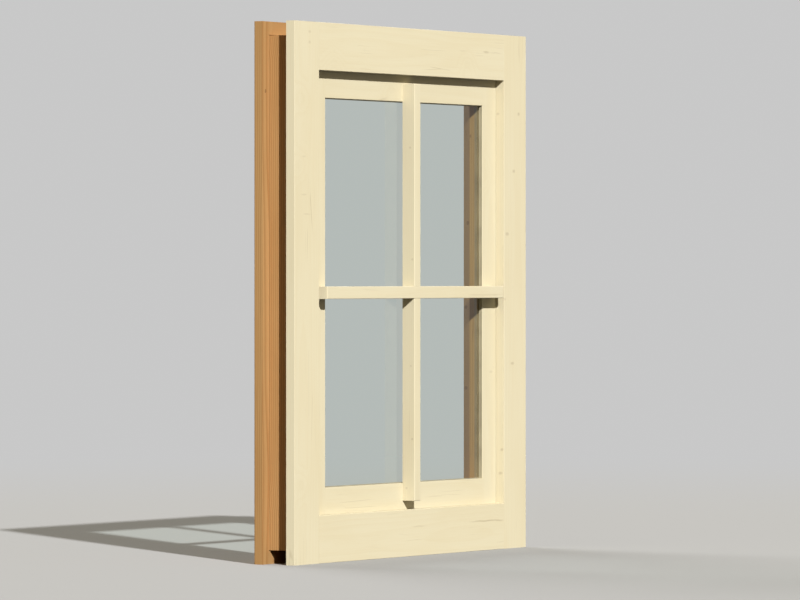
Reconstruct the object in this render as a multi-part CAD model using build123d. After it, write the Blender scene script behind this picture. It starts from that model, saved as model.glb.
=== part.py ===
from build123d import *
import os

# Timber tilt and turn window for a log wall: casing, frame, sash, glass, planted bars and fittings.
# X runs along the wall, +Y goes through the wall into the room and Z is up, in millimetres.
# Y = 0 is the outer face of the wall. The origin lies on the back of the bottom casing rail,
# in the strip that laps over the wall.

# Overall size of the outer casing
OVERALL_W = 690.0
OVERALL_H = 780.0

# Outer casing boards
CASING_FACE = 69.0
CASING_T = 14.0
CASING_ARRIS = 0.5
FLANGE = 20.0
HOUSING = 2.0
HOUSING_PLAY = 1.0

# The wall that the window clamps
WALL_T = 40.0

# Sash
STILE_SHOW = 42.0
RAIL_SHOW = 39.0
SASH_LAP = 12.0
SASH_AIR = 5.0
SASH_GAP = 0.5
SASH_ARRIS = 0.6
LIP_ARRIS = 3.0
LIP_T = 12.0
LIP_LAP = 10.0

# Glazing
GLASS_T = 4.0
GLASS_BITE = 9.0
FRONT_LIP = 5.0
POCKET = 12.0
SEAL_T = 7.0
BEVEL_DEEP = 15.0
BEVEL_IN = 9.0

# Planted glazing bars
BAR_W = 18.0
BAR_PROUD = 6.0
BAR_SHORT = 13.0
BAR_ARRIS = 0.8

# Inner trim
TRIM_T = 14.0
TRIM_BACK = 8.0
TRIM_ARRIS = 2.0

# Fittings on the room side
ROSETTE_W = 30.0
ROSETTE_H = 68.0
ROSETTE_T = 11.0
ROSETTE_CORNER = 13.0
ROSETTE_ARRIS = 3.0
NECK_R = 8.5
NECK_TAPER = 4.0
LEVER_L = 124.0
LEVER_W = 22.0
LEVER_TIP = 18.0
LEVER_T = 12.0
LEVER_GAP = 10.0
LEVER_ARRIS = 4.0
LEVER_BACK_ARRIS = 1.5
KNUCKLE_R = 6.5
PIN_R = 3.0
PIN_PLAY = 0.15
POST_L = 28.0
KNUCKLE_L = 38.0
KNUCKLE_ARRIS = 1.5
HINGE_PLAY = 0.5
HINGE_LOW = 6.0
PIN_SHORT = 4.0
LEAF_W = 30.0
LEAF_T = 3.0
LEAF_INSET = 3.0
LEAF_CORNER = 5.0

# Half sizes of the nested outlines, measured from the middle of the window
half = (OVERALL_W / 2, OVERALL_H / 2)


def grown(outline, by):
    return (outline[0] + by, outline[1] + by)


opening = grown(half, -CASING_FACE)
frame_out = grown(half, -FLANGE)
sash_edge = grown(opening, SASH_LAP)
frame_in = grown(sash_edge, SASH_AIR)
lip_edge = grown(frame_in, LIP_LAP)
frame_step = grown(lip_edge, SASH_AIR)
trim_in = grown(frame_step, TRIM_BACK)
sight = (opening[0] - STILE_SHOW, opening[1] - RAIL_SHOW)
pocket = grown(sight, POCKET)
glass_edge = grown(sight, GLASS_BITE)

# Depths through the wall
y_casing = -CASING_T
y_sash = SASH_GAP
y_glass = y_sash + FRONT_LIP
y_seal = y_glass + GLASS_T
y_bead = y_seal + SEAL_T
y_room = WALL_T
y_back = y_room + HOUSING
y_lip = y_room - LIP_T
y_bar = y_casing - BAR_PROUD
mid_z = half[1] - FLANGE / 2

os.makedirs("parts", exist_ok=True)


def save(shape, name):
    export_step(shape, f"parts/{name}.step")


def block(x0, x1, y0, y1, z0, z1):
    """A box between two corners, with Z measured from the middle of the window."""
    middle = Pos((x0 + x1) / 2, (y0 + y1) / 2, mid_z + (z0 + z1) / 2)
    return middle * Box(abs(x1 - x0), abs(y1 - y0), abs(z1 - z0))


def slab(outline, y0, y1):
    return block(-outline[0], outline[0], y0, y1, -outline[1], outline[1])


def ring(outer, inner, y0, y1):
    return slab(outer, y0, y1) - slab(inner, y0 - 1, y1 + 1)


def upright(inner, outer, y0, y1):
    """The right-hand stile of a rectangular surround whose stiles run through."""
    return block(inner[0], outer[0], y0, y1, -outer[1], outer[1])


def crosspiece(inner, outer, y0, y1):
    """The top rail of a rectangular surround, held between its stiles."""
    return block(-inner[0], inner[0], y0, y1, inner[1], outer[1])


def ease_front(board, axis, radius):
    """Rounds the two long arrises on the side that faces outdoors."""
    return fillet(board.edges().filter_by(axis).group_by(Axis.Y)[0], radius)


def ease_back(board, axis, radius):
    """Rounds the two long arrises on the side that faces the room."""
    return fillet(board.edges().filter_by(axis).group_by(Axis.Y)[-1], radius)


def flipped_x(shape):
    return mirror(shape, about=Plane.YZ)


def flipped_z(shape):
    return mirror(shape, about=Plane.XY.offset(mid_z))


def save_surround(stem, stile, rail, stile_words, rail_words):
    """Writes the right and left stile and the top and bottom rail."""
    save(stile, f"{stem}_{stile_words[0]}")
    save(flipped_x(stile), f"{stem}_{stile_words[1]}")
    save(rail, f"{stem}_{rail_words[0]}")
    save(flipped_z(rail), f"{stem}_{rail_words[1]}")


# Outer casing: four boards with a shallow housing that takes the front edge of the frame
housing = ring(
    grown(frame_out, HOUSING_PLAY), grown(frame_in, -HOUSING_PLAY), -HOUSING, HOUSING
)
casing_stile = ease_front(upright(opening, half, y_casing, 0), Axis.Z, CASING_ARRIS)
casing_rail = ease_front(crosspiece(opening, half, y_casing, 0), Axis.X, CASING_ARRIS)
save_surround(
    "casing",
    casing_stile - housing,
    casing_rail - housing,
    ("right_stile", "left_stile"),
    ("top_rail", "bottom_rail"),
)

# Frame through the wall, stepped for the lip of the sash
frame_rebate = slab(frame_step, y_lip, y_back + 1)
save_surround(
    "frame",
    upright(frame_in, frame_out, -HOUSING, y_back) - frame_rebate,
    crosspiece(frame_in, frame_out, -HOUSING, y_back) - frame_rebate,
    ("right_jamb", "left_jamb"),
    ("head", "sill"),
)

# Inner trim that clamps the wall against the casing, housed over the back edge of the frame
trim_housing = ring(
    grown(frame_out, HOUSING_PLAY), grown(trim_in, -HOUSING_PLAY), y_room - 1, y_back
)
trim_stile = ease_back(
    upright(trim_in, half, y_room, y_room + TRIM_T), Axis.Z, TRIM_ARRIS
)
trim_rail = ease_back(
    crosspiece(trim_in, half, y_room, y_room + TRIM_T), Axis.X, TRIM_ARRIS
)
save_surround(
    "inner_trim",
    trim_stile - trim_housing,
    trim_rail - trim_housing,
    ("right", "left"),
    ("top", "bottom"),
)

# Sash: the whole surround is shaped first and then parted into its members
sash = slab(sash_edge, y_sash, y_lip) + slab(lip_edge, y_lip, y_room)
sash -= slab(sight, y_sash - 1, y_room + 1)
sash -= slab(pocket, y_glass, y_room + 1)


def loop_near(edges, outline):
    """The edges that lie on the sides of an outline."""
    found = []
    for edge in edges:
        middle = edge.center()
        x_off = abs(abs(middle.X) - outline[0])
        z_off = abs(abs(middle.Z - mid_z) - outline[1])
        if min(x_off, z_off) < 0.01:
            found.append(edge)
    return found


sash = fillet(loop_near(sash.edges().group_by(Axis.Y)[0], sight), SASH_ARRIS)
sash = fillet(loop_near(sash.edges().group_by(Axis.Y)[-1], lip_edge), LIP_ARRIS)
save_surround(
    "sash",
    sash & upright(sight, lip_edge, y_sash - 1, y_room + 1),
    sash & crosspiece(sight, lip_edge, y_sash - 1, y_room + 1),
    ("right_stile", "left_stile"),
    ("top_rail", "bottom_rail"),
)

# Glass and the strips of seal behind it
save(slab(glass_edge, y_glass, y_seal), "glass_pane")
save_surround(
    "glazing_seal",
    upright(sight, glass_edge, y_seal, y_bead),
    crosspiece(sight, glass_edge, y_seal, y_bead),
    ("right", "left"),
    ("top", "bottom"),
)


def bead(along, across):
    """A mitred glazing bead on the side that lies in the direction across."""
    reach = sight[0] if across.X else sight[1]
    run = sight[1] if across.X else sight[0]
    section = Polygon(
        (reach, y_bead),
        (reach + POCKET, y_bead),
        (reach + POCKET, y_room),
        (reach + BEVEL_IN, y_room),
        (reach, y_room - BEVEL_DEEP),
        align=None,
    )
    middle = (0, 0, mid_z)
    bar = extrude(
        Plane(middle, x_dir=across, z_dir=along) * section, run + POCKET, both=True
    )
    wedge = Polygon(
        (reach, run),
        (reach + POCKET, run + POCKET),
        (reach + POCKET, -run - POCKET),
        (reach, -run),
        align=None,
    )
    cut = extrude(
        Plane(middle, x_dir=across, z_dir=(0, 1, 0)) * wedge, 2 * y_room, both=True
    )
    return bar & cut


save_surround(
    "glazing_bead",
    bead(Vector(0, 0, 1), Vector(1, 0, 0)),
    bead(Vector(-1, 0, 0), Vector(0, 0, 1)),
    ("right", "left"),
    ("top", "bottom"),
)

# Planted bars on the face of the sash, halved where they cross
bar_reach = grown(opening, -BAR_SHORT)
bar_half = BAR_W / 2
lap = (y_bar + y_sash) / 2


def eased_bar(x, z):
    bar = block(-x, x, y_bar, y_sash, -z, z)
    return fillet(bar.faces().sort_by(Axis.Y)[0].edges(), BAR_ARRIS)


front_half = block(-bar_half, bar_half, y_bar - 1, lap, -bar_half, bar_half)
back_half = block(-bar_half, bar_half, lap, y_sash + 1, -bar_half, bar_half)
save(eased_bar(bar_half, bar_reach[1]) - front_half, "vertical_bar")
save(eased_bar(bar_reach[0], bar_half) - back_half, "horizontal_bar")

# Handle on the room side of the left sash stile
handle_x = -(pocket[0] + lip_edge[0]) / 2
handle_at = (handle_x, y_room, mid_z)
room_side = Plane(handle_at, x_dir=(-1, 0, 0), z_dir=(0, 1, 0))

rosette = extrude(
    room_side * RectangleRounded(ROSETTE_W, ROSETTE_H, ROSETTE_CORNER), ROSETTE_T
)
rosette = fillet(rosette.faces().sort_by(Axis.Y)[-1].edges(), ROSETTE_ARRIS)
save(rosette, "handle_rosette")


def lever():
    """A tapered grip with a rounded front and an eased back, on a short neck."""
    top = LEVER_W / 2
    tip = LEVER_TIP / 2
    ends = Circle(top).edges() + (Pos(0, top + tip - LEVER_L) * Circle(tip)).edges()
    grip = extrude(room_side.offset(ROSETTE_T + LEVER_GAP) * make_hull(ends), LEVER_T)
    grip = fillet(grip.faces().sort_by(Axis.Y)[-1].edges(), LEVER_ARRIS)
    grip = chamfer(grip.faces().sort_by(Axis.Y)[0].edges(), LEVER_BACK_ARRIS)
    neck = extrude(
        room_side.offset(ROSETTE_T) * Circle(NECK_R), LEVER_GAP, taper=NECK_TAPER
    )
    return grip + neck


save(lever(), "handle_lever")

# Hinges on the room side at the right, one at the bottom corner and one at the top
pivot_x = lip_edge[0] + SASH_AIR / 2
pivot_y = y_back + KNUCKLE_R + HINGE_PLAY
post_foot = -(frame_step[1] + HINGE_LOW)
post_head = post_foot + POST_L
knuckle_foot = post_head + HINGE_PLAY
knuckle_head = knuckle_foot + KNUCKLE_L
pin_head = knuckle_head - PIN_SHORT


def spindle(radius, z0, z1):
    return Pos(pivot_x, pivot_y, mid_z + (z0 + z1) / 2) * Cylinder(radius, z1 - z0)


def hinge_bracket():
    """The post and pin on the frame, with a foot against the frame's edge."""
    post = spindle(KNUCKLE_R, post_foot, post_head)
    post = chamfer(post.edges().sort_by(Axis.Z)[0], KNUCKLE_ARRIS)
    foot_far = trim_in[0] - HINGE_PLAY
    foot = block(
        pivot_x,
        foot_far,
        y_back,
        pivot_y,
        post_foot + KNUCKLE_ARRIS,
        post_head - HINGE_PLAY,
    )
    return post + foot + spindle(PIN_R, post_head - PIN_R, pin_head)


def hinge_knuckle():
    """The barrel that turns on the pin, with an arm and a leaf on the sash."""
    barrel = spindle(KNUCKLE_R, knuckle_foot, knuckle_head)
    barrel = chamfer(barrel.edges().sort_by(Axis.Z)[-1], KNUCKLE_ARRIS)
    low = knuckle_foot + LEAF_INSET
    high = knuckle_head - LEAF_INSET
    arm_far = lip_edge[0] - LIP_ARRIS - LEAF_T
    arm = block(arm_far, pivot_x, y_room, pivot_y, low, high)
    leaf = block(arm_far - LEAF_W, arm_far, y_room, y_room + LEAF_T, low, high)
    leaf = fillet(leaf.edges().filter_by(Axis.Y).group_by(Axis.X)[0], LEAF_CORNER)
    bore = spindle(PIN_R + PIN_PLAY, knuckle_foot, pin_head + PIN_PLAY)
    return barrel + arm + leaf - bore


save(hinge_bracket(), "lower_hinge_bracket")
save(hinge_knuckle(), "lower_hinge_knuckle")
save(flipped_z(hinge_bracket()), "upper_hinge_bracket")
save(flipped_z(hinge_knuckle()), "upper_hinge_knuckle")
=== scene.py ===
"""Looks of the timber tilt and turn window: ivory paint outdoors, bare spruce indoors, satin fittings.

Everything is in metres, in the frame of the CAD model: X along the window, +Y indoors, Z up.
"""
import math

import bmesh
import bpy
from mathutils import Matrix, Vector


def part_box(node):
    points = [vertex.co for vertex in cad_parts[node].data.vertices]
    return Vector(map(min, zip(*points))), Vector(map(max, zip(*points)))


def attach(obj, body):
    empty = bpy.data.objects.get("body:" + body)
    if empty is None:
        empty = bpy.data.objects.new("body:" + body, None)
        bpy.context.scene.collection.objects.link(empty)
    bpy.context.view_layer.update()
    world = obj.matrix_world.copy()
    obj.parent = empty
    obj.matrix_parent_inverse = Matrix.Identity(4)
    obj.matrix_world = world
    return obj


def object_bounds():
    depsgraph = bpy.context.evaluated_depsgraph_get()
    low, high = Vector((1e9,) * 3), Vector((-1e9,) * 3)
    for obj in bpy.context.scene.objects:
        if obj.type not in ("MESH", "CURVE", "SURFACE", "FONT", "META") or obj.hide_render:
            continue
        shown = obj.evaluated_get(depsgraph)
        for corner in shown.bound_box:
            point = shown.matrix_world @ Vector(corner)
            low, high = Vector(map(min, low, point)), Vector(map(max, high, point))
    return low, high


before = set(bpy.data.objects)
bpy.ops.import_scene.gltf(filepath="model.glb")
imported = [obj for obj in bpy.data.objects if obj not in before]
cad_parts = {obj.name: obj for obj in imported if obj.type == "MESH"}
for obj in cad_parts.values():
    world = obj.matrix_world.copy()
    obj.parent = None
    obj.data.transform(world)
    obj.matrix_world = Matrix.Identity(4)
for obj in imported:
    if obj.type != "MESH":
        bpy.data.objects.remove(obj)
cad_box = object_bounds()

# The photograph's camera: level, turned to the right, with a long lens
IMAGE_W, IMAGE_H = 800, 600
FOCAL_PX = 6101.0
HORIZON_PX = 276.07
CAMERA_AT = (-7.84039, -4.48451, 0.4041)
CAMERA_YAW = 60.1767
SENSOR_MM = 36.0
VIEW_REACH = 200.0

# Light: a key lamp from the left front, a broad soft lamp behind, and an even fill
TO_KEY = (-0.83, -1.0, 0.79)
KEY_STRENGTH = 4.17
KEY_ANGLE = 1.5
TO_BACK = (0.45, 1.0, 0.4)
BACK_STRENGTH = 2.25
BACK_ANGLE = 40.0
FILL_STRENGTH = 0.22
FILL_COLOUR = (1.0, 0.88, 0.60)

# Floor: pale to the eye, dark as a source of bounced light, melting into the background further out
FLOOR_PALE = 0.50
FLOOR_BOUNCE = 0.07
FLOOR_ROUGH = 0.9
FLOOR_HALF = 40.0
BACKGROUND = 0.58
MELT = (1.2, 5.0)

# Colours, as linear values
BLACK = (0.0, 0.0, 0.0)
WHITE = (1.0, 1.0, 1.0, 1.0)
IVORY = (0.860, 0.772, 0.540)
IVORY_LATE = (0.790, 0.670, 0.415)
IVORY_KNOT = (0.480, 0.380, 0.220)
SPRUCE = (0.560, 0.325, 0.130)
SPRUCE_LATE = (0.385, 0.180, 0.055)
SPRUCE_KNOT = (0.150, 0.055, 0.018)
SEAL_TAN = (0.400, 0.270, 0.145)
SEALANT = (0.390, 0.335, 0.210)
ALUMINIUM = (0.62, 0.62, 0.63)
ZINC = (0.60, 0.53, 0.36)
GLASS_TINT = (0.88, 0.92, 0.90)
GLASS_IOR = 1.45

# Boards by node: where they are bare, and which way the grain runs
BOARD_GROUPS = {
    "casing": ("facing", {"left_stile": "Z", "right_stile": "Z", "top_rail": "X", "bottom_rail": "X"}),
    "sash": ("depth", {"left_stile": "Z", "right_stile": "Z", "top_rail": "X", "bottom_rail": "X"}),
    "frame": ("bare", {"left_jamb": "Z", "right_jamb": "Z", "head": "X", "sill": "X"}),
    "inner_trim": ("bare", {"left": "Z", "right": "Z", "top": "X", "bottom": "X"}),
    "glazing_bead": ("bare", {"left": "Z", "right": "Z", "top": "X", "bottom": "X"}),
}

# Paint: where it stops on the sash and elsewhere, and the share of its colour that lights other faces
PAINT_DEPTH = (0.019, 0.021)
PAINT_FACING = (0.5, 0.7)
PAINT_BOUNCE = 0.55

# Noises of the timber: scale across, through and along the grain, and octaves
WANDER_NOISE = ((9.0, 9.0, 1.7), 2.0)
FIBRE_NOISE = ((900.0, 900.0, 16.0), 3.0)
BLOTCH_NOISE = ((16.0, 16.0, 4.0), 3.0)
PATCH_NOISE = ((30.0, 30.0, 8.0), 1.0)
FIBRE_HARSH = 0.6
NOISE_MEAN = 0.5

# Each board, and each pattern on it, has a seed of its own
BOARD_SEED = 1.7
PIN_SEED, WANDER_SEED, FIBRE_SEED, BLOTCH_SEED, PATCH_SEED = 5.5, 3.1, 7.7, 11.3, 17.9
SEED_SLANT = 0.37

# Growth rings round a pith line, and the two flanks of a latewood band as shares of a ring
RING_SPACING = 0.0032
PITH_BEHIND = 0.065
PITH_ASIDE, PITH_TURN = 0.013, 2.3
RING_WANDER = 5.0
RING_BEND = 2.2
RING_RISE = (0.30, 0.92)
RING_FALL = (1.0, 0.94)

# Knots and pin knots: cell that may hold one, radius, and share of the cells that do
KNOT_CELL, KNOT_R, KNOT_SHARE = 0.110, 0.0075, 0.50
PIN_CELL, PIN_R, PIN_SHARE = 0.050, 0.0024, 0.14
KNOT_STRETCH = 0.8
KNOT_LUMPS, KNOT_UNEVEN = 0.8, 0.9
KNOT_HEART = 0.5

# Distances from the middle of a knot, in radii, over which its edge, pale heart and bent rings fade
KNOT_EDGE = (1.0, 0.75)
KNOT_CORE = (0.9, 0.2)
KNOT_ZONE = (4.0, 0.3)

# Hairline checks along the grain, in patches
CHECK_SCALE = (85.0, 85.0, 2.2)
CHECK_LINE = (0.020, 0.004)
PATCH_SHOW = (0.60, 0.68)

# How far each figure shows: through paint and on bare wood, or alike on both
RING_SHOWS = (0.16, 0.62)
KNOT_SHOWS = (0.03, 0.85)
PIN_SHOWS = (0.06, 0.70)
BLOTCH_SHOWS, BLOTCH_FADE = 0.32, (0.42, 0.75)
FIBRE_SHOWS, FIBRE_FADE = 0.30, (0.45, 0.8)
CHECK_SHOWS = 0.40

# Surface of the timber
PAINT_GLOSS, BARE_GLOSS = 0.30, 0.20
TIMBER_ROUGH, FIBRE_ROUGH = 0.58, 0.16
FIBRE_LIFT, RING_LIFT = 0.5, 0.35
TIMBER_BUMP = (0.18, 0.0004)

# Plain knots and cracks on faces that look outdoors: X, Z, half width, half height, strength
FRONT_MARKS = {
    "casing_top_rail": [
        (0.220, 0.7425, 0.013, 0.0028, 0.40),
        (0.249, 0.7420, 0.028, 0.0016, 0.20),
        (0.148, 0.7420, 0.014, 0.0018, 0.14),
    ],
    "casing_right_stile": [
        (0.3220, 0.6510, 0.0055, 0.0042, 0.42),
        (0.3065, 0.5635, 0.0065, 0.0040, 0.40),
        (0.2860, 0.4680, 0.0080, 0.0040, 0.40),
        (0.3020, 0.2715, 0.0080, 0.0034, 0.42),
        (0.2785, 0.3695, 0.0050, 0.0030, 0.26),
    ],
    "casing_left_stile": [
        (-0.3025, 0.7555, 0.006, 0.0030, 0.24),
        (-0.3025, 0.7405, 0.005, 0.0034, 0.24),
        (-0.3185, 0.5760, 0.008, 0.0018, 0.18),
        (-0.3185, 0.5210, 0.012, 0.0018, 0.20),
        (-0.3100, 0.4930, 0.015, 0.0018, 0.20),
    ],
    "casing_bottom_rail": [
        (0.216, 0.0345, 0.064, 0.0016, 0.50),
        (0.260, 0.0335, 0.020, 0.0015, 0.35),
        (0.015, 0.0335, 0.028, 0.0015, 0.25),
    ],
    "sash_right_stile": [(0.2605, 0.2590, 0.008, 0.0030, 0.20)],
    "sash_bottom_rail": [(0.0900, 0.0755, 0.038, 0.0014, 0.18)],
}

# The same on faces that look to the left: Y, Z, half depth, half height, strength
LEFT_MARKS = {
    "casing_right_stile": [
        (-0.0030, 0.6505, 0.004, 0.0030, 0.30),
        (-0.0105, 0.1405, 0.004, 0.0036, 0.42),
        (-0.0075, 0.1045, 0.005, 0.0036, 0.42),
    ],
    "vertical_bar": [
        (-0.0125, 0.5940, 0.0026, 0.0026, 0.34),
        (-0.0160, 0.4285, 0.0026, 0.0026, 0.34),
        (-0.0135, 0.2715, 0.0024, 0.0024, 0.28),
        (-0.0160, 0.1635, 0.0026, 0.0028, 0.42),
        (-0.0065, 0.0905, 0.0026, 0.0026, 0.30),
    ],
    "glazing_bead_right": [(0.0235, 0.6160, 0.003, 0.0042, 0.50)],
}
MARK_DEEP = 0.004
MARK_LUMPS, MARK_WOBBLE = 60.0, 0.0022
MARK_EDGE = (1.0, 0.2)

# Rubber and sealant: a fine skin and faint smears
SEAL_ROUGH, SEALANT_ROUGH, SKIN_ROUGH = 0.6, 0.5, 0.2
SKIN_NOISE = (900.0, 3.0)
SKIN_BUMP = (0.15, 0.0003)
SMEAR_NOISE = (35.0, 2.0)
SMEAR_FADE = (0.35, 0.7)
SMEAR_DARK = 0.78

# Satin metal: brush marks and a cloudy dulling
METAL_ROUGH, BRUSH_ROUGH = 0.26, 0.18
BRUSH_NOISE = ((2600.0, 2600.0, 90.0), 2.0)
BRUSH_BUMP = (0.08, 0.0002)
CLOUD_NOISE = (60.0, 2.0)
CLOUD_FADE = (0.3, 0.75)
CLOUD_DARK = 0.86

# Sealant along the front of the glass
SEALANT_ON_GLASS = 0.0014
SEALANT_ON_LIP = 0.0042
SEALANT_HOLLOW = 0.0002
SEALANT_GAP = 0.00005

# Screws on the inner side
TRIM_SCREW_R = 0.0040
LEAF_SCREW_R = 0.0032
SCREW_FROM_END = 0.060
SCREW_SIDES = 32
LEAF_T = 0.003
LEAF_W = 0.030
LEAF_SCREWS_AT = (0.25, 0.72)
TRIM_SCREW_TURN, LEAF_SCREW_TURN = 0.7, 0.4

# Head of a screw, in radii: width and height of its rings; reach, half width and height of its recess
SHOULDER = (0.92, 0.16)
CROWN = (0.72, 0.30)
MOUTH = (0.58, 0.13, 0.32)
RECESS_FLOOR = (0.46, 0.09, 0.06)


class Nodes:
    """Short calls for building a node tree."""

    # Sockets of the mix node that take and give colours
    MIX_A, MIX_B, MIX_OUT = 6, 7, 2

    def __init__(self, tree):
        self.tree = tree

    def add(self, kind, inputs=None, **settings):
        made = self.tree.nodes.new(kind)
        for key, value in settings.items():
            setattr(made, key, value)
        for key, value in (inputs or {}).items():
            self.feed(made.inputs[key], value)
        return made

    def feed(self, socket, value):
        if isinstance(value, bpy.types.NodeSocket):
            self.tree.links.new(value, socket)
        else:
            socket.default_value = value

    def place(self):
        """The place on the object, in metres."""
        return self.add("ShaderNodeTexCoord").outputs["Object"]

    def parts(self, vector):
        return self.add("ShaderNodeSeparateXYZ", {"Vector": vector}).outputs

    def math(self, operation, a, b=0.0, clamp=False):
        return self.add("ShaderNodeMath", {0: a, 1: b}, operation=operation, use_clamp=clamp).outputs[0]

    def vector(self, operation, a, b):
        return self.add("ShaderNodeVectorMath", {0: a, 1: b}, operation=operation).outputs[0]

    def length(self, vector):
        return self.add("ShaderNodeVectorMath", {0: vector}, operation="LENGTH").outputs["Value"]

    def ramp(self, value, low, high):
        """0 below low, 1 above high, smooth between; low may be the larger."""
        limits = {"Value": value, "From Min": low, "From Max": high}
        return self.add("ShaderNodeMapRange", limits, interpolation_type="SMOOTHSTEP").outputs["Result"]

    def mix(self, factor, a, b):
        made = self.add("ShaderNodeMix", data_type="RGBA")
        self.feed(made.inputs["Factor"], factor)
        for socket, value in ((self.MIX_A, a), (self.MIX_B, b)):
            self.feed(made.inputs[socket], (*value, 1.0) if isinstance(value, tuple) else value)
        return made.outputs[self.MIX_OUT]

    def noise(self, vector, scale, detail=1.0, seed=0.0, roughness=0.5):
        """Cloudy noise from 0 to 1; a scale of three numbers stretches it along the axes."""
        if isinstance(scale, tuple):
            vector = self.vector("MULTIPLY", vector, scale)
            scale = 1.0
        made = self.add(
            "ShaderNodeTexNoise",
            {"Vector": vector, "Scale": scale, "Detail": detail, "W": seed, "Roughness": roughness},
            noise_dimensions="4D",
        )
        return made.outputs["Fac"]

    def bump(self, shader, height, strength, depth):
        made = self.add("ShaderNodeBump", {"Height": height, "Strength": strength, "Distance": depth})
        self.feed(shader.inputs["Normal"], made.outputs["Normal"])


def material(name):
    """A new material, with its node tree and its main shader."""
    made = bpy.data.materials.new(name)
    made.use_nodes = True
    shader = made.node_tree.nodes["Principled BSDF"]
    return made, Nodes(made.node_tree), shader


def board_coordinates(n, place, centre, grain):
    """Coordinates from the middle of the board, turned so that the grain runs along Z."""
    split = n.parts(n.vector("SUBTRACT", place, centre))
    across, along = ("X", "Z") if grain == "Z" else ("Z", "X")
    turned = {"X": split[across], "Y": split["Y"], "Z": split[along]}
    return n.add("ShaderNodeCombineXYZ", turned).outputs[0]


def bare_mask(n, place, rule):
    """1 where a painted board is bare: behind a depth, or on faces that look indoors."""
    if rule == "depth":
        return n.ramp(n.parts(place)["Y"], *PAINT_DEPTH)
    normal = n.add("ShaderNodeNewGeometry").outputs["Normal"]
    return n.ramp(n.parts(normal)["Y"], *PAINT_FACING)


def spots(n, local, cell, radius, share, seed):
    """Knots that run through the board in some cells of a random pattern, and the zone round each."""
    split = n.parts(local)
    flat = n.add("ShaderNodeCombineXYZ", {"X": split["X"], "Y": split["Z"]}).outputs[0]
    moved = n.vector("ADD", flat, (seed, SEED_SLANT * seed, 0.0))
    cells = n.add(
        "ShaderNodeTexVoronoi",
        {"Vector": n.vector("MULTIPLY", moved, (1.0, KNOT_STRETCH, 1.0)), "Scale": 1.0 / cell},
        voronoi_dimensions="2D",
    )
    draw = n.add("ShaderNodeSeparateColor", {"Color": cells.outputs["Color"]}).outputs["Red"]
    chosen = n.math("GREATER_THAN", draw, 1.0 - share)
    lumps = n.noise(local, KNOT_LUMPS / radius, seed=seed)
    uneven = n.math("MULTIPLY", n.math("SUBTRACT", lumps, NOISE_MEAN), KNOT_UNEVEN)
    near = n.math("ADD", n.math("MULTIPLY", cells.outputs["Distance"], cell / radius), uneven)
    heart = n.math("SUBTRACT", 1.0, n.math("MULTIPLY", n.ramp(near, *KNOT_CORE), KNOT_HEART))
    spot = n.math("MULTIPLY", n.math("MULTIPLY", chosen, n.ramp(near, *KNOT_EDGE)), heart)
    zone = n.math("MULTIPLY", chosen, n.ramp(near, *KNOT_ZONE))
    return spot, zone


def growth_rings(n, local, seed, bend):
    """Latewood bands round a pith line that lies on the inner side of the board."""
    split = n.parts(local)
    side = n.math("ADD", split["X"], PITH_ASIDE * math.sin(seed * PITH_TURN))
    back = n.math("SUBTRACT", split["Y"], PITH_BEHIND)
    square = n.math("ADD", n.math("MULTIPLY", side, side), n.math("MULTIPLY", back, back))
    wander = n.noise(local, *WANDER_NOISE, seed + WANDER_SEED)
    turns = n.math("DIVIDE", n.math("SQRT", square), RING_SPACING)
    turns = n.math("ADD", turns, n.math("MULTIPLY", wander, RING_WANDER))
    turns = n.math("ADD", turns, n.math("MULTIPLY", bend, RING_BEND))
    phase = n.math("FRACT", turns)
    return n.math("MULTIPLY", n.ramp(phase, *RING_RISE), n.ramp(phase, *RING_FALL))


def hairline_checks(n, local, seed):
    """Thin cracks along the grain, in patches."""
    cells = n.add(
        "ShaderNodeTexVoronoi",
        {"Vector": n.vector("MULTIPLY", local, CHECK_SCALE), "Scale": 1.0, "W": seed},
        voronoi_dimensions="4D",
        feature="DISTANCE_TO_EDGE",
    )
    lines = n.ramp(cells.outputs["Distance"], *CHECK_LINE)
    patches = n.noise(local, *PATCH_NOISE, seed + PATCH_SEED)
    return n.math("MULTIPLY", lines, n.ramp(patches, *PATCH_SHOW))


def marks_on(node):
    """Centre, reach each way and strength of the plain knots and cracks on a board."""
    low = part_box(node)[0]
    marks = []
    for x, z, half_x, half_z, strength in FRONT_MARKS.get(node, []):
        marks.append(((x, low.y, z), (half_x, MARK_DEEP, half_z), strength))
    for y, z, half_y, half_z, strength in LEFT_MARKS.get(node, []):
        marks.append(((low.x, y, z), (MARK_DEEP, half_y, half_z), strength))
    return marks


def plain_marks(n, place, marks):
    """How strongly the listed knots and cracks show, with an uneven outline."""
    wobble = n.add("ShaderNodeTexNoise", {"Vector": place, "Scale": MARK_LUMPS}).outputs["Color"]
    wobble = n.vector("SUBTRACT", wobble, (NOISE_MEAN,) * 3)
    shifted = n.vector("ADD", n.vector("MULTIPLY", wobble, (MARK_WOBBLE,) * 3), place)
    total = 0.0
    for centre, reach, strength in marks:
        off = n.vector("SUBTRACT", shifted, centre)
        away = n.length(n.vector("MULTIPLY", off, tuple(1.0 / r for r in reach)))
        mark = n.math("MULTIPLY", n.ramp(away, *MARK_EDGE), strength)
        total = n.math("ADD", mark, total, clamp=True)
    return total


def dim_to_neighbours(n, colour):
    """The colour as it is seen, but darker as a source of light, so that inside corners stay even."""
    onward = n.add("ShaderNodeLightPath").outputs["Is Diffuse Ray"]
    return n.mix(n.math("MULTIPLY", onward, 1.0 - PAINT_BOUNCE), colour, BLACK)


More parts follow.
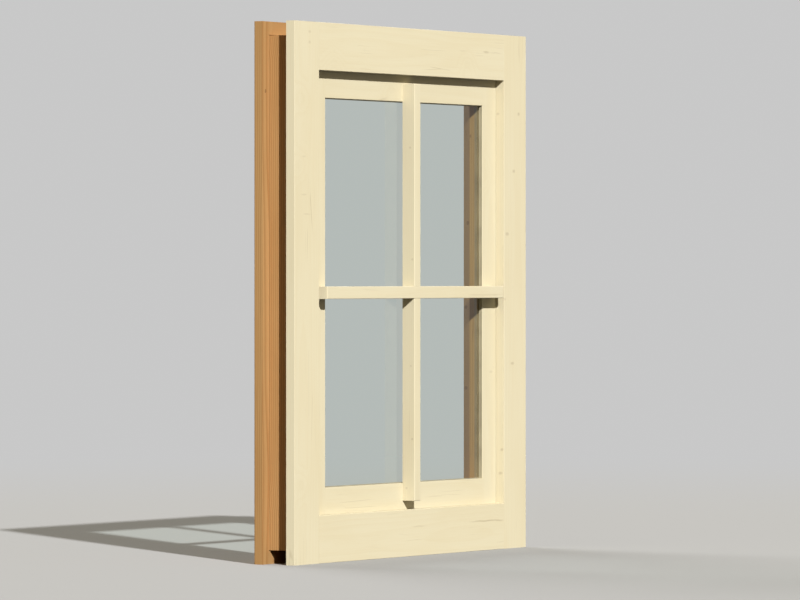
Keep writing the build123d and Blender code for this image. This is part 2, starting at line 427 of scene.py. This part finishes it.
def timber(node, grain, rule, seed):
    """Spruce with growth rings, fibres, knots and checks, under thin ivory paint where it is painted."""
    made, n, shader = material(f"timber_{node}")
    low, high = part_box(node)
    place = n.place()
    local = board_coordinates(n, place, (low + high) / 2, grain)
    bare = None if rule == "bare" else bare_mask(n, place, rule)

    def either(painted, natural):
        """The natural value on a bare board, and a mix of both by the mask on a painted one."""
        if bare is None:
            return natural
        if isinstance(natural, tuple):
            return n.mix(bare, painted, natural)
        return n.math("ADD", painted, n.math("MULTIPLY", bare, natural - painted))

    slender = node.startswith("glazing_bead") or node.endswith("bar")
    knot, bend = spots(n, local, KNOT_CELL, KNOT_R, 0.0 if slender else KNOT_SHARE, seed)
    pin, _ = spots(n, local, PIN_CELL, PIN_R, PIN_SHARE, seed + PIN_SEED)
    late = growth_rings(n, local, seed, bend)
    fibre = n.noise(local, *FIBRE_NOISE, seed + FIBRE_SEED, FIBRE_HARSH)
    blotch = n.noise(local, *BLOTCH_NOISE, seed + BLOTCH_SEED)
    check = hairline_checks(n, local, seed)

    # Colour: the paint lets only a little of the figure through
    latewood = either(IVORY_LATE, SPRUCE_LATE)
    knotwood = either(IVORY_KNOT, SPRUCE_KNOT)
    colour = either(IVORY, SPRUCE)
    for figure, strength, tone in (
        (late, either(*RING_SHOWS), latewood),
        (n.ramp(blotch, *BLOTCH_FADE), BLOTCH_SHOWS, latewood),
        (n.ramp(fibre, *FIBRE_FADE), FIBRE_SHOWS, latewood),
        (knot, either(*KNOT_SHOWS), knotwood),
        (pin, either(*PIN_SHOWS), knotwood),
        (check, CHECK_SHOWS, knotwood),
    ):
        colour = n.mix(n.math("MULTIPLY", figure, strength), colour, tone)
    marks = marks_on(node)
    if marks:
        colour = n.mix(plain_marks(n, place, marks), colour, knotwood)
    if bare is not None:
        colour = dim_to_neighbours(n, colour)
    n.feed(shader.inputs["Base Color"], colour)

    # Surface: fibres and latewood lift a little, checks sink
    lift = n.math("ADD", n.math("MULTIPLY", fibre, FIBRE_LIFT), n.math("MULTIPLY", late, RING_LIFT))
    n.bump(shader, n.math("SUBTRACT", lift, check), *TIMBER_BUMP)
    rough = n.math("ADD", TIMBER_ROUGH, n.math("MULTIPLY", fibre, FIBRE_ROUGH))
    n.feed(shader.inputs["Roughness"], rough)
    shader.inputs["Specular IOR Level"].default_value = BARE_GLOSS if bare is None else PAINT_GLOSS
    return made


def clear_glass():
    """A sheet that bends what shows through it, mirrors at a slant and lets lamps straight through."""
    made, n, shader = material("clear_glass")
    n.tree.nodes.remove(shader)
    inside = n.add("ShaderNodeNewGeometry").outputs["Backfacing"]
    slant = n.add("ShaderNodeFresnel", {"IOR": GLASS_IOR}).outputs[0]
    gloss = n.math("MULTIPLY", slant, n.math("SUBTRACT", 1.0, inside))
    tint = (*GLASS_TINT, 1.0)
    bent = n.add("ShaderNodeBsdfRefraction", {"Color": tint, "IOR": GLASS_IOR, "Roughness": 0.0})
    mirror = n.add("ShaderNodeBsdfGlossy", {"Color": WHITE, "Roughness": 0.0})
    seen = n.add("ShaderNodeMixShader", {0: gloss, 1: bent.outputs[0], 2: mirror.outputs[0]})
    path = n.add("ShaderNodeLightPath").outputs
    lights = n.math("MAXIMUM", path["Is Shadow Ray"], path["Is Diffuse Ray"])
    straight = n.add("ShaderNodeBsdfTransparent", {"Color": tint})
    both = n.add("ShaderNodeMixShader", {0: lights, 1: seen.outputs[0], 2: straight.outputs[0]})
    n.feed(n.tree.nodes["Material Output"].inputs["Surface"], both.outputs[0])
    return made


def soft_rubber(name, colour, rough):
    """Matte rubber or sealant with a fine skin and faint smears."""
    made, n, shader = material(name)
    place = n.place()
    skin = n.noise(place, *SKIN_NOISE)
    smear = n.noise(place, *SMEAR_NOISE)
    dark = tuple(SMEAR_DARK * c for c in colour)
    n.feed(shader.inputs["Base Color"], n.mix(n.ramp(smear, *SMEAR_FADE), colour, dark))
    n.feed(shader.inputs["Roughness"], n.math("ADD", rough, n.math("MULTIPLY", skin, SKIN_ROUGH)))
    n.bump(shader, skin, *SKIN_BUMP)
    return made


def satin_metal(name, colour):
    """Brushed metal with a cloudy dulling."""
    made, n, shader = material(name)
    place = n.place()
    brushed = n.noise(place, *BRUSH_NOISE)
    cloud = n.noise(place, *CLOUD_NOISE)
    dull = tuple(CLOUD_DARK * c for c in colour)
    n.feed(shader.inputs["Base Color"], n.mix(n.ramp(cloud, *CLOUD_FADE), colour, dull))
    shader.inputs["Metallic"].default_value = 1.0
    rough = n.math("ADD", METAL_ROUGH, n.math("MULTIPLY", brushed, BRUSH_ROUGH))
    n.feed(shader.inputs["Roughness"], rough)
    n.bump(shader, brushed, *BRUSH_BUMP)
    return made


def dress(node, finish):
    """Gives a CAD node one finish."""
    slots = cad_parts[node].data.materials
    slots.clear()
    slots.append(finish)


def dress_boards():
    """Gives each board a timber of its own, so that no two are alike."""
    boards = [("vertical_bar", "Z", "facing"), ("horizontal_bar", "X", "facing")]
    for stem, (rule, members) in BOARD_GROUPS.items():
        boards += [(f"{stem}_{word}", grain, rule) for word, grain in members.items()]
    for count, (node, grain, rule) in enumerate(boards):
        dress(node, timber(node, grain, rule, BOARD_SEED * count))


def dress_rest(metal):
    dress("glass_pane", clear_glass())
    seal = soft_rubber("rubber_seal", SEAL_TAN, SEAL_ROUGH)
    for word in ("left", "right", "top", "bottom"):
        dress(f"glazing_seal_{word}", seal)
    dress("handle_rosette", metal)
    dress("handle_lever", metal)
    for end in ("lower", "upper"):
        dress(f"{end}_hinge_bracket", metal)
        dress(f"{end}_hinge_knuckle", metal)


def add_piece(name, bm, finish):
    """Turns a bmesh into a piece that rides on the window."""
    bmesh.ops.recalc_face_normals(bm, faces=bm.faces)
    mesh = bpy.data.meshes.new(name)
    bm.to_mesh(mesh)
    bm.free()
    mesh.materials.append(finish)
    piece = bpy.data.objects.new(name, mesh)
    bpy.context.scene.collection.objects.link(piece)
    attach(piece, "root")


def bridge(bm, loop_a, loop_b):
    """Quads between two closed loops of as many points."""
    count = len(loop_a)
    for i in range(count):
        j = (i + 1) % count
        bm.faces.new((loop_a[i], loop_a[j], loop_b[j], loop_b[i]))


def add_sealant():
    """A hollow fillet of sealant in the corner between the glass and the lip of the sash."""
    left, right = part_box("sash_left_stile")[1].x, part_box("sash_right_stile")[0].x
    low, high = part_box("sash_bottom_rail")[1].z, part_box("sash_top_rail")[0].z
    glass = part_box("glass_pane")[0].y - SEALANT_GAP
    section = [
        (0.0, glass),
        (SEALANT_ON_GLASS, glass),
        (SEALANT_ON_GLASS / 2 - SEALANT_HOLLOW, glass - SEALANT_ON_LIP / 2 + SEALANT_HOLLOW),
        (0.0, glass - SEALANT_ON_LIP),
    ]
    bm = bmesh.new()
    rings = []
    for inward, y in section:
        corners = [
            (left + inward, low + inward),
            (right - inward, low + inward),
            (right - inward, high - inward),
            (left + inward, high - inward),
        ]
        rings.append([bm.verts.new((x, y, z)) for x, z in corners])
    for i, ring in enumerate(rings):
        bridge(bm, ring, rings[(i + 1) % len(rings)])
    add_piece("glass_sealant", bm, soft_rubber("sealant", SEALANT, SEALANT_ROUGH))


def circle(radius):
    turns = [math.tau * i / SCREW_SIDES for i in range(SCREW_SIDES)]
    return [(radius * math.cos(t), radius * math.sin(t)) for t in turns]


def cross(reach, half):
    """Outline of an upright cross, anticlockwise."""
    arm = [(reach, -half), (reach, half), (half, half)]
    points = []
    for quarter in range(4):
        for x, z in arm:
            for _ in range(quarter):
                x, z = -z, x
            points.append((x, z))
    return points


def add_screw(name, at, radius, turn, finish):
    """A raised head with a cross recess, looking indoors."""
    bm = bmesh.new()
    cos_turn, sin_turn = math.cos(turn), math.sin(turn)

    def loop(points, proud):
        made = []
        for x, z in points:
            x, z = radius * x, radius * z
            aside = x * cos_turn - z * sin_turn
            up = x * sin_turn + z * cos_turn
            made.append(bm.verts.new((at.x + aside, at.y + radius * proud, at.z + up)))
        return made

    rim = loop(circle(1.0), 0.0)
    shoulder = loop(circle(SHOULDER[0]), SHOULDER[1])
    crown = loop(circle(CROWN[0]), CROWN[1])
    mouth = loop(cross(MOUTH[0], MOUTH[1]), MOUTH[2])
    floor = loop(cross(RECESS_FLOOR[0], RECESS_FLOOR[1]), RECESS_FLOOR[2])
    bridge(bm, rim, shoulder)
    bridge(bm, shoulder, crown)
    bridge(bm, mouth, floor)
    bm.faces.new(floor)
    bm.faces.new(rim)
    on_crown, on_mouth = set(crown), set(mouth)
    top = [edge for edge in bm.edges if set(edge.verts) <= on_crown or set(edge.verts) <= on_mouth]
    bmesh.ops.triangle_fill(bm, use_beauty=True, edges=top)
    add_piece(name, bm, finish)


def add_screws(metal):
    zinc = satin_metal("zinc_plate", ZINC)
    for side in ("left", "right", "top", "bottom"):
        low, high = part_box(f"inner_trim_{side}")
        middle = (low + high) / 2
        axis = 2 if side in ("left", "right") else 0
        places = (low[axis] + SCREW_FROM_END, middle[axis], high[axis] - SCREW_FROM_END)
        for count, along in enumerate(places):
            at = Vector((middle.x, high.y, middle.z))
            at[axis] = along
            turn = TRIM_SCREW_TURN * count + along
            add_screw(f"trim_screw_{side}_{count + 1}", at, TRIM_SCREW_R, turn, zinc)
    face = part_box("sash_right_stile")[1].y + LEAF_T
    for end in ("lower", "upper"):
        low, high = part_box(f"{end}_hinge_knuckle")
        height = (low.z + high.z) / 2
        for count, share in enumerate(LEAF_SCREWS_AT):
            at = Vector((low.x + share * LEAF_W, face, height))
            turn = LEAF_SCREW_TURN + count
            add_screw(f"{end}_leaf_screw_{count + 1}", at, LEAF_SCREW_R, turn, metal)


def make_camera():
    data = bpy.data.cameras.new("camera")
    data.sensor_width = SENSOR_MM
    data.lens = FOCAL_PX * SENSOR_MM / IMAGE_W
    data.shift_y = (HORIZON_PX - IMAGE_H / 2) / IMAGE_W
    data.clip_end = VIEW_REACH
    camera = bpy.data.objects.new("camera", data)
    camera.location = CAMERA_AT
    camera.rotation_euler = (math.pi / 2, 0.0, math.radians(-CAMERA_YAW))
    bpy.context.scene.collection.objects.link(camera)
    bpy.context.scene.camera = camera


def seen_rays(n):
    """1 for rays that show a surface to the camera, straight or by way of metal and glass."""
    path = n.add("ShaderNodeLightPath").outputs
    seen = n.math("MAXIMUM", path["Is Camera Ray"], path["Is Glossy Ray"])
    seen = n.math("MAXIMUM", seen, path["Is Transmission Ray"])
    return n.math("MULTIPLY", seen, n.math("LESS_THAN", path["Diffuse Depth"], 1.0))


def make_lights():
    for name, towards, strength, angle in (
        ("key_lamp", TO_KEY, KEY_STRENGTH, KEY_ANGLE),
        ("back_lamp", TO_BACK, BACK_STRENGTH, BACK_ANGLE),
    ):
        data = bpy.data.lights.new(name, "SUN")
        data.energy = strength
        data.angle = math.radians(angle)
        lamp = bpy.data.objects.new(name, data)
        lamp.rotation_mode = "QUATERNION"
        lamp.rotation_quaternion = Vector(towards).to_track_quat("Z", "Y")
        bpy.context.scene.collection.objects.link(lamp)

    world = bpy.data.worlds.new("studio")
    bpy.context.scene.world = world
    world.use_nodes = True
    n = Nodes(world.node_tree)
    n.tree.nodes.clear()
    seen = seen_rays(n)
    fill = n.add("ShaderNodeBackground", {"Color": (*FILL_COLOUR, 1.0), "Strength": FILL_STRENGTH})
    show = n.add("ShaderNodeBackground", {"Color": WHITE, "Strength": BACKGROUND})
    both = n.add("ShaderNodeMixShader", {0: seen, 1: fill.outputs[0], 2: show.outputs[0]})
    n.add("ShaderNodeOutputWorld", {"Surface": both.outputs[0]})


def make_floor():
    level = cad_box[0].z
    mesh = bpy.data.meshes.new("floor")
    signs = ((-1, -1), (1, -1), (1, 1), (-1, 1))
    corners = [(x * FLOOR_HALF, y * FLOOR_HALF, level) for x, y in signs]
    mesh.from_pydata(corners, [], [(0, 1, 2, 3)])
    floor = bpy.data.objects.new("floor", mesh)
    bpy.context.scene.collection.objects.link(floor)
    made, n, shader = material("pale_floor")
    seen = seen_rays(n)
    n.feed(shader.inputs["Base Color"], n.mix(seen, (FLOOR_BOUNCE,) * 3, (FLOOR_PALE,) * 3))
    shader.inputs["Roughness"].default_value = FLOOR_ROUGH
    shader.inputs["Specular IOR Level"].default_value = 0.0
    melt = n.math("MULTIPLY", n.ramp(n.length(n.place()), *MELT), seen)
    glow = n.add("ShaderNodeEmission", {"Color": WHITE, "Strength": BACKGROUND})
    both = n.add("ShaderNodeMixShader", {0: melt, 1: shader.outputs[0], 2: glow.outputs[0]})
    n.feed(n.tree.nodes["Material Output"].inputs["Surface"], both.outputs[0])
    mesh.materials.append(made)


aluminium = satin_metal("satin_aluminium", ALUMINIUM)
dress_boards()
dress_rest(aluminium)
add_sealant()
add_screws(aluminium)
make_camera()
make_lights()
make_floor()

bpy.context.scene.view_settings.view_transform = "Standard"
